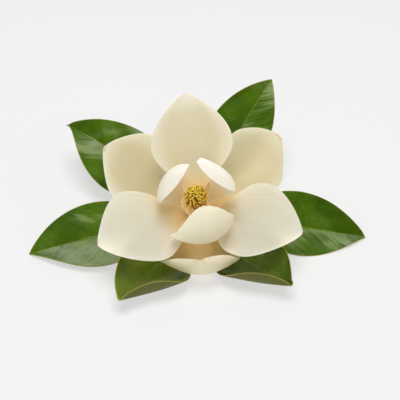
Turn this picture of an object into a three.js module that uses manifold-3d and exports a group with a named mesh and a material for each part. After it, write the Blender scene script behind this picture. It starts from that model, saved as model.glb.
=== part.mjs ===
// A cut bloom of the southern magnolia, lying on a level surface with six of its leaves.
// Millimetres, +Z up. The flower faces -Y and leans towards it, and its stalk is cut off short.
// Nine broad tepals stand in three whorls round a drum of stamens and a cone of carpels.
import * as THREE from 'three';
import { mergeVertices } from 'three/addons/utils/BufferGeometryUtils.js';
import Module from 'manifold-3d';

const wasm = await Module();
wasm.setup();
const { Manifold, Mesh: SolidMesh } = wasm;

// ---- Driving sizes, in millimetres and degrees ------------------------------------------------

const FIT = 0.3;                                  // clearance between neighbouring solids
const CENTRE = new THREE.Vector3(1.2, -1.9, 0);       // moves the middle of the outline to the origin

const BLOOM = {
  foot: new THREE.Vector3(-4, -10.6, 28),         // where the flower's axis crosses the lowest whorl
  lean: 28,                                       // of the axis from upright, towards -Y
};

const STALK = {
  radius: 4.5,
  torusRadius: 6.5,                               // of the swollen top that carries the tepals
  torusBottom: -9,                                // heights along the axis, above the foot
  torusTop: 7.4,
  scarHeights: [-13, -20],                        // rings left by fallen bud scales
  scarRise: 0.5,
  scarWidth: 1.6,
  sides: 24,
};

const STAMENS = {
  bottom: STALK.torusTop + FIT,                   // heights along the axis
  widest: 11.6,
  top: 19.6,
  footRadius: 6,
  radius: 13.9,                                   // of the drum that the stamens stand out of
  topRadius: 9.6,
  rows: 6,
  perRow: 17,
  width: 3.2,
  sunk: 2.2,
  reach: 1.8,                                     // of a tip beyond the drum
  colour: 0xd2a760,
};

const CARPELS = {
  bottom: STAMENS.top + 4 * FIT,
  top: 36.4,
  radius: 10.4,                                   // of the core
  count: 64,
  width: 2.5,
  sunk: 1.4,
  length: 4.4,                                    // of one curled style
  curl: 110,                                      // from its root to its tip
  swirl: 35,                                      // of the way it curls over, from straight out
  colour: 0xb0912a,
};

// Tepals. rise is the slope of the mid line above the whorl's plane, cup is how far each half
// turns up from the mid line to the margin, sway turns the mid line to its left and twist rolls
// it: each holds the values at the foot, the middle and the tip. widestAt and blunt shape the
// outline, and lopsided widens the left half.
const TEPAL = { footHalfWidth: 6, footDecay: 1.5, tipHalfWidth: 0.6, middle: 2.0, margin: 1.1 };
const FLATTENS = 5;                               // a half narrower than this folds and cups less

const WHORLS = {
  outer: { height: -6, colour: 0xe3d9b4 },
  middle: { height: -1.5, colour: 0xe9e1c4 },
  inner: { height: 3.2, colour: 0xf2eedd },
};

const TEPALS = [
  { name: 'tepal_outer_left', whorl: 'outer', azimuth: 147, length: 107, halfWidth: 43,
    widestAt: 1.35, blunt: 0.81, lopsided: 0.07,
    rise: [-8, 18, 27], cup: [30, 44, 25], twist: [1, -2, -7], sway: [-1, 0, 11] },
  { name: 'tepal_outer_right', whorl: 'outer', azimuth: 38, length: 109, halfWidth: 43,
    widestAt: 1.34, blunt: 0.6, lopsided: -0.04,
    rise: [-2, 13, 48], cup: [30, 64, 28], twist: [0, 14, 1], sway: [0, 3, -9] },
  { name: 'tepal_outer_front', whorl: 'outer', azimuth: 269, length: 112, halfWidth: 40,
    widestAt: 1.24, blunt: 0.44, lopsided: 0.03,
    rise: [20, 25, 133], cup: [35, 24, 93], twist: [-8, -7, -10], sway: [-2, 8, 14] },
  { name: 'tepal_middle_back', whorl: 'middle', azimuth: 96, length: 113.5, halfWidth: 45,
    widestAt: 1.34, blunt: 0.84, lopsided: -0.03,
    rise: [5, 48, 38], cup: [31, 48, 45], twist: [3, 0, 3], sway: [-1, 1, 0] },
  { name: 'tepal_middle_left', whorl: 'middle', azimuth: 212, length: 113, halfWidth: 42,
    widestAt: 1.42, blunt: 0.69, lopsided: -0.03,
    rise: [23, 28, 11], cup: [39, 40, 33], twist: [6, -8, 22], sway: [0, 6, -18] },
  { name: 'tepal_middle_right', whorl: 'middle', azimuth: 336, length: 110, halfWidth: 45,
    widestAt: 1.39, blunt: 0.82, lopsided: -0.02,
    rise: [0, 27, 5], cup: [29, 52, 50], twist: [10, 8, -4], sway: [-1, 0, 13] },
  { name: 'tepal_inner_left', whorl: 'inner', azimuth: 153, length: 92, halfWidth: 29,
    widestAt: 1.27, blunt: 0.95, lopsided: 0.06,
    rise: [1, 91, 150], cup: [34, 53, 70], twist: [12, -12, -20], sway: [0, 0, 28] },
  { name: 'tepal_inner_right', whorl: 'inner', azimuth: 28, length: 104, halfWidth: 25,
    widestAt: 1.34, blunt: 0.95, lopsided: 0,
    rise: [5, 97, 148], cup: [30, 61, 36], twist: [-9, 18, 3], sway: [2, 8, -26] },
  { name: 'tepal_inner_front', whorl: 'inner', azimuth: 289, length: 106, halfWidth: 36,
    widestAt: 1.34, blunt: 0.48, lopsided: -0.09,
    rise: [-4, 67, 170], cup: [44, 58, 30], twist: [-7, 1, 17], sway: [-1, -3, 9] },
];

// Leaves. Each starts on the stalk, drop below the foot. fold is the slope of a half at the
// midrib and cup its further turn up to the margin, for the left and the right half.
const LEAF = {
  petiole: 20, petioleHalfWidth: 2, petioleThickness: 3, thickness: 1.8, margin: 1.3,
  tipHalfWidth: 0.5, opens: 18, colour: 0x3f5a12,
};

const LEAVES = [
  { name: 'leaf_back_left', drop: 16, azimuth: 137, length: 180, halfWidth: 41,
    widestAt: 0.9, blunt: 0.82, lopsided: 0.01,
    rise: [21, 7, 9], sway: [0, 1, 12], twist: [-2, -10, 2],
    left: { fold: [12, 2, 28], cup: [4, -20, 29] },
    right: { fold: [15, 6, 35], cup: [5, -24, 44] } },
  { name: 'leaf_back_right', drop: 16, azimuth: 61, length: 174, halfWidth: 34,
    widestAt: 0.91, blunt: 0.91, lopsided: 0.01,
    rise: [27, 26, 16], sway: [0, 0, -3], twist: [1, 1, 20],
    left: { fold: [15, 9, 26], cup: [5, -8, 26] },
    right: { fold: [15, 9, 14], cup: [5, -7, 4] } },
  { name: 'leaf_left', drop: 16, azimuth: 197, length: 165, halfWidth: 43, rests: true,
    widestAt: 1.03, blunt: 0.86, lopsided: 0.09,
    rise: [0, -5, -5], sway: [1, -3, 4], twist: [3, -8, -1],
    left: { fold: [9, 8, 13], cup: [1, -1, 3] },
    right: { fold: [27, 12, 24], cup: [12, 0, 19] } },
  { name: 'leaf_right', drop: 16, azimuth: -13, length: 166, halfWidth: 37, rests: true,
    widestAt: 1.07, blunt: 0.79, lopsided: 0,
    rise: [9, -8, -4], sway: [1, 8, 6], twist: [-3, 17, 11],
    left: { fold: [24, 13, 23], cup: [12, 1, 20] },
    right: { fold: [21, 8, 17], cup: [10, -5, 10] } },
  { name: 'leaf_front_left', drop: 20, azimuth: -113, length: 148, halfWidth: 40, rests: true,
    widestAt: 1.3, blunt: 0.83, lopsided: 0.17,
    rise: [-14, 1, 20], sway: [-1, -9, 10], twist: [-1, -1, -23],
    left: { fold: [-12, -16, -14], cup: [-11, 45, 170] },
    right: { fold: [-4, 27, 19], cup: [0, 36, 23] } },
  { name: 'leaf_front_right', drop: 20, azimuth: -61, length: 142, halfWidth: 38, rests: true,
    widestAt: 1.34, blunt: 0.74, lopsided: -0.12,
    rise: [-16, 3, 21], sway: [4, 13, -1], twist: [9, 2, -5],
    left: { fold: [-13, 13, 39], cup: [-2, 49, 53] },
    right: { fold: [7, -14, -27], cup: [-25, 44, 146] } },
];

const DETAIL = { alongTepal: 16, acrossTepal: 8, alongLeaf: 16, acrossLeaf: 6, tipCrowding: 0.6 };

// ---- Small helpers ------------------------------------------------------------------------------

const rad = THREE.MathUtils.degToRad;
const GOLDEN_ANGLE = Math.PI * (3 - Math.sqrt(5));

// The smooth curve through three values, at t = 0, 1/2 and 1.
function through([a, b, c], t) {
  return a * (1 - t) * (1 - 2 * t) + 4 * b * t * (1 - t) + c * t * (2 * t - 1);
}

function paint(colour, roughness) {
  return new THREE.MeshStandardMaterial({ color: colour, roughness, metalness: 0 });
}

function toSolid(geometry) {
  const bare = new THREE.BufferGeometry();
  bare.setAttribute('position', geometry.getAttribute('position'));
  if (geometry.index) {
    bare.setIndex(geometry.index);
  }
  const joined = mergeVertices(bare, 1e-4);
  return new Manifold(new SolidMesh({
    numProp: 3,
    vertProperties: new Float32Array(joined.getAttribute('position').array),
    triVerts: new Uint32Array(joined.index.array),
  }));
}

// Fuses solids into one, and drops loose scraps and sealed hollows.
function fuse(solids) {
  const pieces = Manifold.union(solids).decompose();
  const whole = pieces.reduce((best, piece) => (piece.volume() > best.volume() ? piece : best));
  const mesh = whole.getMesh();
  const geometry = new THREE.BufferGeometry();
  geometry.setAttribute('position', new THREE.BufferAttribute(mesh.vertProperties, 3));
  geometry.setIndex(new THREE.BufferAttribute(mesh.triVerts, 1));
  return geometry;
}

// ---- Blades: tepals and leaves ------------------------------------------------------------------

// Direction along a blade's mid line, across it to the left, and out of its upper face.
function bladeFrame(blade, t) {
  const rise = rad(through(blade.rise, t));
  const sway = rad(through(blade.sway, t));
  const twist = rad(through(blade.twist, t));
  const along = new THREE.Vector3(
    Math.cos(rise) * Math.cos(sway), Math.cos(rise) * Math.sin(sway), Math.sin(rise));
  const level = new THREE.Vector3(-Math.sin(sway), Math.cos(sway), 0);
  const up = new THREE.Vector3().crossVectors(along, level);
  const left = level.clone().multiplyScalar(Math.cos(twist)).addScaledVector(up, Math.sin(twist));
  const face = up.multiplyScalar(Math.cos(twist)).addScaledVector(level, -Math.sin(twist));
  return { along, left, face };
}

// How far a point lies to the side and above, when a half is laid along a circular arc.
function onArc(distance, halfWidth, fold, cup) {
  const turn = Math.abs(cup) < 1e-4 ? 1e-4 : cup;
  const end = fold + turn * distance / halfWidth;
  return {
    side: halfWidth / turn * (Math.sin(end) - Math.sin(fold)),
    lift: halfWidth / turn * (Math.cos(fold) - Math.cos(end)),
  };
}

function tepalHalfWidth(blade, t) {
  const outline = blade.halfWidth * Math.sin(Math.PI * t ** blade.widestAt) ** blade.blunt;
  const foot = TEPAL.footHalfWidth * (1 - t) ** TEPAL.footDecay;
  return Math.max(outline, foot) + TEPAL.tipHalfWidth;
}

function leafHalfWidth(blade, t) {
  const start = LEAF.petiole / blade.length;
  const along = THREE.MathUtils.clamp((t - start) / (1 - start), 0, 1);
  const outline = blade.halfWidth * Math.sin(Math.PI * along ** blade.widestAt) ** blade.blunt;
  const petiole = LEAF.petioleHalfWidth * Math.max(0, 1 - 3 * along);
  return Math.max(outline, petiole) + LEAF.tipHalfWidth;
}

// Rows of points over a blade's middle surface, from foot to tip and from right to left margin.
function middleSurface(blade, shape, rows, columns) {
  const steps = Array.from({ length: rows + 1 }, (_, i) => {
    const s = i / rows;
    return s + DETAIL.tipCrowding * (1 - (1 - s) ** 2 - s);
  });
  const spot = new THREE.Vector3();
  const fine = 6;
  return steps.map((t, i) => {
    for (let k = 0; i > 0 && k < fine; k += 1) {
      const span = (t - steps[i - 1]) / fine;
      spot.addScaledVector(bladeFrame(blade, steps[i - 1] + (k + 0.5) * span).along, span * blade.length);
    }
    const frame = bladeFrame(blade, t);
    return Array.from({ length: columns + 1 }, (_, j) => {
      const u = 2 * j / columns - 1;
      const sign = Math.sign(u) || 1;
      const half = sign > 0 ? shape.left(t) : shape.right(t);
      const width = shape.halfWidth(t) * (1 + sign * blade.lopsided);
      const bend = rad(Math.min(1, width / FLATTENS));
      const { side, lift } = onArc(Math.abs(u) * width, width, bend * half.fold, bend * half.cup);
      return spot.clone().addScaledVector(frame.left, sign * side).addScaledVector(frame.face, lift);
    });
  });
}

// The normal at each point of a grid: the sum of its triangles' normals, scaled to one. The tip
// row is too narrow for more than one.
function surfaceNormals(grid) {
  const normals = grid.map((row) => row.map(() => new THREE.Vector3()));
  const addTriangle = (...corners) => {
    const [a, b, c] = corners.map(([i, j]) => grid[i][j]);
    const normal = new THREE.Vector3().subVectors(b, a).cross(new THREE.Vector3().subVectors(c, a));
    corners.forEach(([i, j]) => normals[i][j].add(normal));
  };
  for (let i = 0; i < grid.length - 1; i += 1) {
    for (let j = 0; j < grid[0].length - 1; j += 1) {
      addTriangle([i, j], [i + 1, j], [i + 1, j + 1]);
      addTriangle([i, j], [i + 1, j + 1], [i, j + 1]);
    }
  }
  const tip = normals[grid.length - 1];
  tip.fill(tip[(tip.length - 1) / 2]);
  return normals.map((row) => row.map((normal) => normal.clone().normalize()));
}

// One closed thin solid: the middle surface, thickened to both sides and closed all round.
function bladeSolid(grid, thickness) {
  const rows = grid.length;
  const columns = grid[0].length;
  const normals = surfaceNormals(grid);
  const positions = [];
  for (const side of [0.5, -0.5]) {
    for (let i = 0; i < rows; i += 1) {
      for (let j = 0; j < columns; j += 1) {
        const depth = thickness(i / (rows - 1), Math.abs(2 * j / (columns - 1) - 1));
        positions.push(...grid[i][j].clone().addScaledVector(normals[i][j], side * depth).toArray());
      }
    }
  }
  const upper = (i, j) => i * columns + j;
  const lower = (i, j) => rows * columns + i * columns + j;
  const faces = [];
  const quad = (a, b, c, d) => faces.push(a, b, c, a, c, d);
  for (let i = 0; i < rows - 1; i += 1) {
    for (let j = 0; j < columns - 1; j += 1) {
      quad(upper(i, j), upper(i + 1, j), upper(i + 1, j + 1), upper(i, j + 1));
      quad(lower(i, j), lower(i, j + 1), lower(i + 1, j + 1), lower(i + 1, j));
    }
    quad(upper(i, 0), lower(i, 0), lower(i + 1, 0), upper(i + 1, 0));
    const last = columns - 1;
    quad(upper(i, last), upper(i + 1, last), lower(i + 1, last), lower(i, last));
  }
  for (let j = 0; j < columns - 1; j += 1) {
    quad(upper(0, j), upper(0, j + 1), lower(0, j + 1), lower(0, j));
    const end = rows - 1;
    quad(upper(end, j), lower(end, j), lower(end, j + 1), upper(end, j + 1));
  }
  const geometry = new THREE.BufferGeometry();
  geometry.setAttribute('position', new THREE.Float32BufferAttribute(positions, 3));
  geometry.setIndex(faces);
  return geometry;
}

function tepalGeometry(blade) {
  const half = (t) => ({ fold: 0, cup: through(blade.cup, t) });
  const shape = { left: half, right: half, halfWidth: (t) => tepalHalfWidth(blade, t) };
  const grid = middleSurface(blade, shape, DETAIL.alongTepal, DETAIL.acrossTepal);
  return bladeSolid(grid, (t, edge) => (
    THREE.MathUtils.lerp(TEPAL.middle, TEPAL.margin, Math.max(edge, t ** 8) ** 2)));
}

function leafGeometry(blade) {
  const start = LEAF.petiole / blade.length;
  const opening = (t) => THREE.MathUtils.clamp((t - start) * blade.length / LEAF.opens, 0, 1);
  const half = (side) => (t) => ({
    fold: opening(t) * through(side.fold, t),
    cup: opening(t) * through(side.cup, t),
  });
  const shape = {
    left: half(blade.left),
    right: half(blade.right),
    halfWidth: (t) => leafHalfWidth(blade, t),
  };
  const grid = middleSurface(blade, shape, DETAIL.alongLeaf, DETAIL.acrossLeaf);
  return bladeSolid(grid, (t, edge) => {
    const body = THREE.MathUtils.lerp(LEAF.thickness, LEAF.margin, Math.max(edge, t ** 8) ** 4);
    return THREE.MathUtils.lerp(LEAF.petioleThickness, body, THREE.MathUtils.clamp(t * 8, 0, 1));
  });
}

// ---- Flower centre ------------------------------------------------------------------------------

// Turned about the flower's axis, which is +Z here, from pairs of radius and height.
function turned(profile, sides) {
  const points = profile.map(([radius, height]) => new THREE.Vector2(radius, height));
  return new THREE.LatheGeometry(points, sides).rotateX(Math.PI / 2);
}

function stalkGeometry() {
  const lean = rad(BLOOM.lean);
  const cut = -(BLOOM.foot.z - STALK.radius * Math.sin(lean)) / Math.cos(lean);
  const scars = [...STALK.scarHeights].sort((a, b) => a - b).flatMap((height) => [
    [STALK.radius, height - STALK.scarWidth / 2],
    [STALK.radius + STALK.scarRise, height],
    [STALK.radius, height + STALK.scarWidth / 2],
  ]);
  return turned([
    [0, cut],
    [STALK.radius, cut],
    ...scars,
    [STALK.radius + 0.4, STALK.torusBottom - 1],
    [STALK.torusRadius, STALK.torusBottom + 1.5],
    [STALK.torusRadius, STALK.torusTop - 1],
    [STALK.torusRadius - 1, STALK.torusTop],
    [0, STALK.torusTop],
  ], STALK.sides);
}

// A slim blunt peg along +Z, wide x width at its root and pointed at its end.
function pegGeometry(width, length, tipShare) {
  return turned([[0, 0], [width / 2, 0], [width / 2 * 0.9, length * 0.8], [width / 2 * tipShare, length],
    [0, length]], 4);
}

function stamensGeometry() {
  const drum = [
    [0, STAMENS.bottom],
    [STAMENS.footRadius, STAMENS.bottom],
    [STAMENS.radius * 0.8, (STAMENS.bottom + STAMENS.widest) / 2],
    [STAMENS.radius, STAMENS.widest],
    [STAMENS.radius * 0.9, (STAMENS.top + STAMENS.widest) / 2],
    [STAMENS.topRadius, STAMENS.top],
    [0, STAMENS.top],
  ];
  const solids = [toSolid(turned(drum, 20))];
  const pegLength = STAMENS.sunk + STAMENS.reach;
  const peg = toSolid(pegGeometry(STAMENS.width, pegLength, 0.35));
  const outline = drum.slice(1, -1);
  for (let row = 0; row < STAMENS.rows; row += 1) {
    const along = (row + 0.5) / STAMENS.rows * (outline.length - 1);
    const [low, high] = [outline[Math.floor(along)], outline[Math.floor(along) + 1]];
    const part = along - Math.floor(along);
    const radius = THREE.MathUtils.lerp(low[0], high[0], part);
    const height = THREE.MathUtils.lerp(low[1], high[1], part);
    const slope = Math.atan2(low[0] - high[0], high[1] - low[1]);
    const count = Math.round(STAMENS.perRow * radius / STAMENS.radius);
    for (let k = 0; k < count; k += 1) {
      const turn = 2 * Math.PI * (k + (row % 2) / 2) / count;
      const place = new THREE.Matrix4().makeRotationZ(turn)
        .multiply(new THREE.Matrix4().makeTranslation(radius, 0, height))
        .multiply(new THREE.Matrix4().makeRotationY(Math.PI / 2 - slope))
        .multiply(new THREE.Matrix4().makeTranslation(0, 0, -STAMENS.sunk));
      solids.push(peg.transform(place.toArray()));
    }
  }
  return fuse(solids);
}

// A style that leaves the cone upright and curls over towards +X, tapering to its tip.
function styleSolid() {
  const steps = 3;
  const rings = [];
  const spot = new THREE.Vector2(0, -CARPELS.sunk);
  const stride = (CARPELS.length + CARPELS.sunk) / steps;
  for (let i = 0; i <= steps; i += 1) {
    const bend = rad(CARPELS.curl) * i / steps;
    const half = CARPELS.width / 2 * (1 - 0.62 * i / steps);
    const across = new THREE.Vector2(Math.cos(bend), -Math.sin(bend));
    const outer = spot.clone().addScaledVector(across, half);
    const inner = spot.clone().addScaledVector(across, -half);
    rings.push(
      [[inner.x, 0, inner.y], [spot.x, -half, spot.y], [outer.x, 0, outer.y], [spot.x, half, spot.y]]);
    spot.x += Math.sin(bend + 0.25) * stride;
    spot.y += Math.cos(bend + 0.25) * stride;
  }
  const faces = [];
  for (let i = 0; i < steps; i += 1) {
    for (let k = 0; k < 4; k += 1) {
      const [a, b] = [4 * i + k, 4 * i + (k + 1) % 4];
      faces.push(a, b, b + 4, a, b + 4, a + 4);
    }
  }
  const last = 4 * steps;
  faces.push(0, 2, 1, 0, 3, 2, last, last + 1, last + 2, last, last + 2, last + 3);
  const geometry = new THREE.BufferGeometry();
  geometry.setAttribute('position', new THREE.Float32BufferAttribute(rings.flat(2), 3));
  geometry.setIndex(faces);
  return toSolid(geometry);
}

function carpelsGeometry() {
  const height = CARPELS.top - CARPELS.bottom;
  const bulge = (s) => CARPELS.radius * Math.sqrt(1 - s ** 2.4);
  const profile = [[0, 0]];
  for (const s of [0, 0.35, 0.65, 0.88]) {
    profile.push([bulge(s), s * height]);
  }
  profile.push([0, height]);
  const solids = [toSolid(turned(profile, 14)).translate([0, 0, CARPELS.bottom])];
  const style = styleSolid();
  for (let k = 0; k < CARPELS.count; k += 1) {
    const share = k / (CARPELS.count - 1);
    const s = 0.05 + 0.475 * (share + share ** 0.42);
    const outward = 62 * (1 - s) ** 0.7;
    const place = new THREE.Matrix4().makeRotationZ(k * GOLDEN_ANGLE)
      .multiply(new THREE.Matrix4().makeTranslation(bulge(s) - 0.6, 0, CARPELS.bottom + s * height))
      .multiply(new THREE.Matrix4().makeRotationY(rad(outward)))
      .multiply(new THREE.Matrix4().makeRotationZ(rad(CARPELS.swirl)));
    solids.push(style.transform(place.toArray()));
  }
  return fuse(solids);
}

// ---- Assembly -----------------------------------------------------------------------------------

function named(name, geometry, colour, roughness) {
  const mesh = new THREE.Mesh(geometry, paint(colour, roughness));
  mesh.name = name;
  return mesh;
}

function worldPoints(mesh) {
  mesh.updateWorldMatrix(true, false);
  const corners = mesh.geometry.getAttribute('position');
  return Array.from({ length: corners.count }, (_, i) => (
    new THREE.Vector3().fromBufferAttribute(corners, i).applyMatrix4(mesh.matrixWorld)));
}

// Slides a blade outwards along its azimuth until its foot stands clear of the round core.
function seat(mesh, azimuth, axisPoint, axisDirection, coreRadius) {
  const outward = new THREE.Vector3(Math.cos(azimuth), Math.sin(azimuth), 0);
  const footPoints = worldPoints(mesh);
  const clearance = () => Math.min(...footPoints.map((point) => (
    new THREE.Vector3().subVectors(point, axisPoint).cross(axisDirection).length())));
  const shift = coreRadius + FIT - clearance();
  mesh.position.addScaledVector(outward, shift);
  return mesh;
}

function addTepals(flower) {
  const origin = new THREE.Vector3();
  const axis = new THREE.Vector3(0, 0, 1);
  for (const blade of TEPALS) {
    const whorl = WHORLS[blade.whorl];
    const mesh = named(blade.name, tepalGeometry(blade), whorl.colour, 0.55);
    const azimuth = rad(blade.azimuth);
    mesh.rotation.z = azimuth;
    mesh.position.set(Math.cos(azimuth), Math.sin(azimuth), 0).multiplyScalar(STALK.torusRadius + FIT);
    mesh.position.z = whorl.height;
    seat(mesh, azimuth, origin, axis, STALK.torusRadius);
    flower.add(mesh);
  }
}

// Tips a leaf about its foot until its lowest point just touches the ground.
function restOnGround(mesh) {
  for (let pass = 0; pass < 12; pass += 1) {
    const lowest = worldPoints(mesh).reduce((low, point) => (point.z < low.z ? point : low));
    const foot = new THREE.Vector3().setFromMatrixPosition(mesh.matrixWorld);
    mesh.rotation.y += Math.atan2(lowest.z, Math.hypot(lowest.x - foot.x, lowest.y - foot.y));
  }
}

function addLeaves(plant) {
  const lean = rad(BLOOM.lean);
  const axis = new THREE.Vector3(0, -Math.sin(lean), Math.cos(lean));
  for (const blade of LEAVES) {
    const mesh = named(blade.name, leafGeometry(blade), LEAF.colour, 0.4);
    const azimuth = rad(blade.azimuth);
    const start = BLOOM.foot.clone().addScaledVector(axis, -blade.drop);
    mesh.rotation.order = 'ZYX';
    mesh.rotation.z = azimuth;
    mesh.position.copy(start);
    mesh.position.x += Math.cos(azimuth) * (STALK.radius + 1.5);
    mesh.position.y += Math.sin(azimuth) * (STALK.radius + 1.5);
    seat(mesh, azimuth, start, axis, STALK.radius + STALK.scarRise);
    if (blade.rests) {
      restOnGround(mesh);
    }
    plant.add(mesh);
  }
}

const plant = new THREE.Group();
addLeaves(plant);

const flower = new THREE.Group();
flower.position.copy(BLOOM.foot);
flower.rotation.x = rad(BLOOM.lean);
flower.add(named('flower_stalk', stalkGeometry(), 0x6f6a35, 0.7));
flower.add(named('stamens', stamensGeometry(), STAMENS.colour, 0.8));
flower.add(named('carpels', carpelsGeometry(), CARPELS.colour, 0.6));
addTepals(flower);
plant.add(flower);
plant.position.copy(CENTRE);

export default plant;
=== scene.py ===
"""A cut bloom of the southern magnolia, lying on a level surface with six of its leaves.

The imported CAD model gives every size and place. Each of its solids is replaced by a finer piece
grown by the same rules: thin waxy tepals, veined leaves, and curled styles over a drum of stamens.
The flower's shapes are worked out in millimetres, and every object is made in metres. +Z is up, and
the flower faces -Y.
"""
import math
import random
from types import SimpleNamespace as Group

import bmesh
import bpy
import numpy as np
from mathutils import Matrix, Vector


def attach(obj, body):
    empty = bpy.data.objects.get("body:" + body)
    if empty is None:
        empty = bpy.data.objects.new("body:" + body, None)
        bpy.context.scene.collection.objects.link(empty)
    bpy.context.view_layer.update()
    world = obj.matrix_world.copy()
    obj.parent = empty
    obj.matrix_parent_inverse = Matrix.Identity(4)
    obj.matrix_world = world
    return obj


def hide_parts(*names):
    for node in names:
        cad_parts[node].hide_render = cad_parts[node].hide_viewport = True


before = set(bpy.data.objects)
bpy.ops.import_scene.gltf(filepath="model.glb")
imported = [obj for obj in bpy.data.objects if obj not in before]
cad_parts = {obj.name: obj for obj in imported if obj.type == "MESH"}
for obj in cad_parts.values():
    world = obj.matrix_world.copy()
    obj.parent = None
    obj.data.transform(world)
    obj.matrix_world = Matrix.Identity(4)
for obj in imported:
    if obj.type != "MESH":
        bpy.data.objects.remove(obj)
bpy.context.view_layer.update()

METRE = 0.001  # metres in a millimetre

# ---- Sizes shared with the CAD source, in millimetres and degrees ----

FIT = 0.3  # clearance between neighbouring solids
CENTRE = (1.2, -1.9, 0)
BLOOM_FOOT = (-4, -10.6, 28)  # where the flower's axis crosses the lowest whorl
BLOOM_LEAN = 28  # of the axis from upright, towards -Y

STALK = Group(radius=4.5, torus_radius=6.5, torus_bottom=-9, torus_top=7.4,
              scar_heights=(-20, -13), scar_rise=0.5, scar_width=1.6, sides=48, step=0.8)
DRUM = Group(bottom=7.7, widest=11.6, top=19.6, foot_radius=6, radius=13.9, top_radius=9.6,
             below=0.8, above=0.9)  # shares of the radius halfway below and above the widest
CONE = Group(bottom=20.8, top=36.4, radius=10.4)

WHORL_HEIGHT = {"outer": -6, "middle": -1.5, "inner": 3.2}
TEPAL_FOOT = Group(half_width=6, decay=1.5)
PETIOLE = Group(length=20, half_width=2, opens=18, tapers=3)
FLATTENS = 5  # a half narrower than this folds and cups less
LEAST_BEND = 1e-4  # radians: a flatter half is laid as if it bent this much

# The solids' own thickness and grid, which settle where each blade sits.
SOLID_TEPAL = Group(rows=16, columns=8, middle=2, margin=1.1, tip=0.6, thins=2)
SOLID_LEAF = Group(rows=16, columns=6, middle=1.8, margin=1.3, tip=0.5, thins=4, petiole=3)
SOLID_TIP_CROWDING = 0.6
SQUARE_TIP = 8  # how late towards the tip a solid thins
PETIOLE_FADE = 8  # a petiole is at a blade's thickness by 1/8 of it
LEAF_START = 1.5  # off the stalk's surface, before a leaf is seated
REST_TURNS = 12  # small turns that bring a leaf to rest
PATH_STEPS = 1200  # steps that add up to a mid line

# Blades. Most numbers of these two tables are the rounded results of a fit to the outlines in the
# photograph. Each list holds the values at the foot, the middle and the tip: rise is the slope of the
# mid line, sway turns it to its left, twist rolls it, and cup is how far a half turns up from the mid
# line to the margin. A leaf's fold is the slope of a half where it leaves the midrib.
TEPALS = [
    Group(name="tepal_outer_left", whorl="outer", azimuth=147, length=107,
          half_width=43, widest_at=1.35, blunt=0.81, lopsided=0.07,
          rise=[-8, 18, 27], cup=[30, 44, 25], twist=[1, -2, -7], sway=[-1, 0, 11]),
    Group(name="tepal_outer_right", whorl="outer", azimuth=38, length=109,
          half_width=43, widest_at=1.34, blunt=0.6, lopsided=-0.04,
          rise=[-2, 13, 48], cup=[30, 64, 28], twist=[0, 14, 1], sway=[0, 3, -9]),
    Group(name="tepal_outer_front", whorl="outer", azimuth=269, length=112,
          half_width=40, widest_at=1.24, blunt=0.44, lopsided=0.03,
          rise=[20, 25, 133], cup=[35, 24, 93], twist=[-8, -7, -10], sway=[-2, 8, 14]),
    Group(name="tepal_middle_back", whorl="middle", azimuth=96, length=113.5,
          half_width=45, widest_at=1.34, blunt=0.84, lopsided=-0.03,
          rise=[5, 48, 38], cup=[31, 48, 45], twist=[3, 0, 3], sway=[-1, 1, 0]),
    Group(name="tepal_middle_left", whorl="middle", azimuth=212, length=113,
          half_width=42, widest_at=1.42, blunt=0.69, lopsided=-0.03,
          rise=[23, 28, 11], cup=[39, 40, 33], twist=[6, -8, 22], sway=[0, 6, -18]),
    Group(name="tepal_middle_right", whorl="middle", azimuth=336, length=110,
          half_width=45, widest_at=1.39, blunt=0.82, lopsided=-0.02,
          rise=[0, 27, 5], cup=[29, 52, 50], twist=[10, 8, -4], sway=[-1, 0, 13]),
    Group(name="tepal_inner_left", whorl="inner", azimuth=153, length=92,
          half_width=29, widest_at=1.27, blunt=0.95, lopsided=0.06,
          rise=[1, 91, 150], cup=[34, 53, 70], twist=[12, -12, -20], sway=[0, 0, 28]),
    Group(name="tepal_inner_right", whorl="inner", azimuth=28, length=104,
          half_width=25, widest_at=1.34, blunt=0.95, lopsided=0,
          rise=[5, 97, 148], cup=[30, 61, 36], twist=[-9, 18, 3], sway=[2, 8, -26]),
    Group(name="tepal_inner_front", whorl="inner", azimuth=289, length=106,
          half_width=36, widest_at=1.34, blunt=0.48, lopsided=-0.09,
          rise=[-4, 67, 170], cup=[44, 58, 30], twist=[-7, 1, 17], sway=[-1, -3, 9]),
]

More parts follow.
